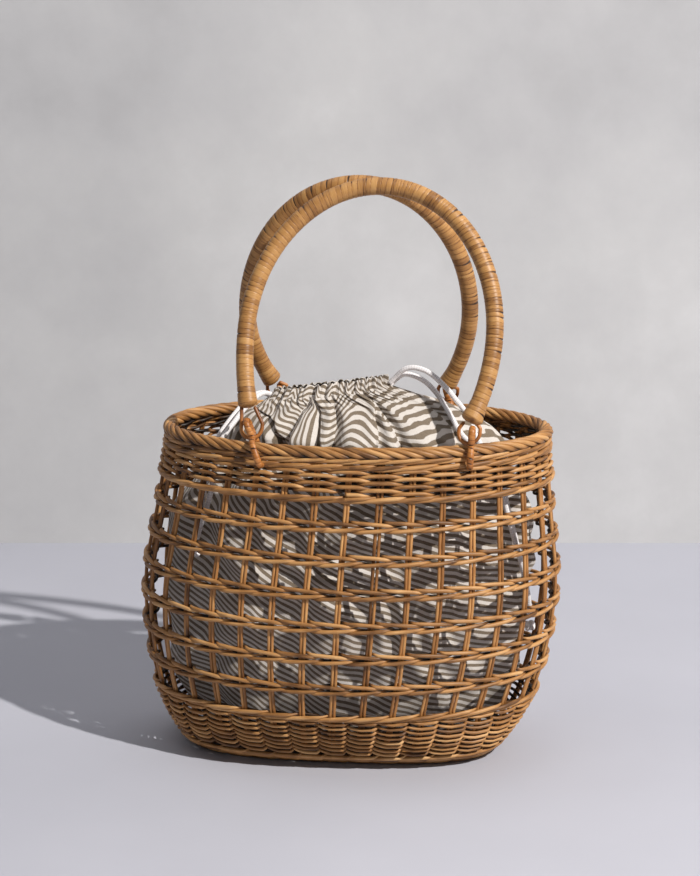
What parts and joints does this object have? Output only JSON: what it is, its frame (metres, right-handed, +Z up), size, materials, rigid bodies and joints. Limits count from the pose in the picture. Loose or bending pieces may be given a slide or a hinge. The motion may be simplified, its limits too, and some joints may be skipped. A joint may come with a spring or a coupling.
{
  "type": "lunch basket",
  "caption": "Oval open-work wicker basket with a rolled rim, wrapped hoop handles that swing on linked rings, and a gathered striped cotton liner closed by drawstrings.",
  "frame": {"origin": "middle of the base's underside, on the surface that the basket stands on", "axes": "+Z up, +X along the oval's long side to the right as seen from the front, -Y towards the front"},
  "size_m": [0.2964, 0.187, 0.4073],
  "materials": {
    "stake": "satin peeled willow",
    "weaver": "satin peeled willow",
    "wrap": "glossy split cane",
    "binding": "satin split cane",
    "cloth": "plain-weave striped cotton",
    "cord": "braided cotton cord"
  },
  "bodies": {
    "basket": {"stake_pair_01": "stake", "stake_pair_02": "stake", "stake_pair_03": "stake", "stake_pair_04": "stake", "stake_pair_05": "stake", "stake_pair_06": "stake", "stake_pair_07": "stake", "stake_pair_08": "stake", "stake_pair_09": "stake", "stake_pair_10": "stake", "stake_pair_11": "stake", "stake_pair_12": "stake", "stake_pair_13": "stake", "stake_pair_14": "stake", "stake_pair_15": "stake", "stake_pair_16": "stake", "stake_pair_17": "stake", "stake_pair_18": "stake", "stake_pair_19": "stake", "stake_pair_20": "stake", "stake_pair_21": "stake", "stake_pair_22": "stake", "stake_pair_23": "stake", "stake_pair_24": "stake", "stake_pair_25": "stake", "stake_pair_26": "stake", "stake_pair_27": "stake", "stake_pair_28": "stake", "stake_pair_29": "stake", "stake_pair_30": "stake", "stake_pair_31": "stake", "stake_pair_32": "stake", "stake_pair_33": "stake", "stake_pair_34": "stake", "stake_pair_35": "stake", "fitching_row_1": "weaver", "fitching_row_2": "weaver", "fitching_row_3": "weaver", "fitching_row_4": "weaver", "fitching_row_5": "weaver", "fitching_row_6": "weaver", "base_mat": "weaver", "foot_wale": "weaver", "lower_band": "weaver", "upper_band": "weaver", "rim_border": "weaver", "front_left_strap": "binding", "front_right_strap": "binding", "rear_left_strap": "binding", "rear_right_strap": "binding", "liner": "cloth", "drawstring_right": "cord", "drawstring_left": "cord"},
    "front_handle_set": {"front_handle": "wrap", "front_left_ring": "binding", "front_right_ring": "binding"},
    "rear_handle_set": {"rear_handle": "wrap", "rear_left_ring": "binding", "rear_right_ring": "binding"}
  },
  "joints": [
    {"name": "front_handle_swing", "type": "hinge", "parent": "basket", "child": "front_handle_set", "pos_m": [0, -0.06387, 0.2373], "axis": [1, 0, 0], "range_deg": [0, 108]},
    {"name": "rear_handle_swing", "type": "hinge", "parent": "basket", "child": "rear_handle_set", "pos_m": [0, 0.06807, 0.2373], "axis": [-1, 0, 0], "range_deg": [0, 108]}
  ]
}
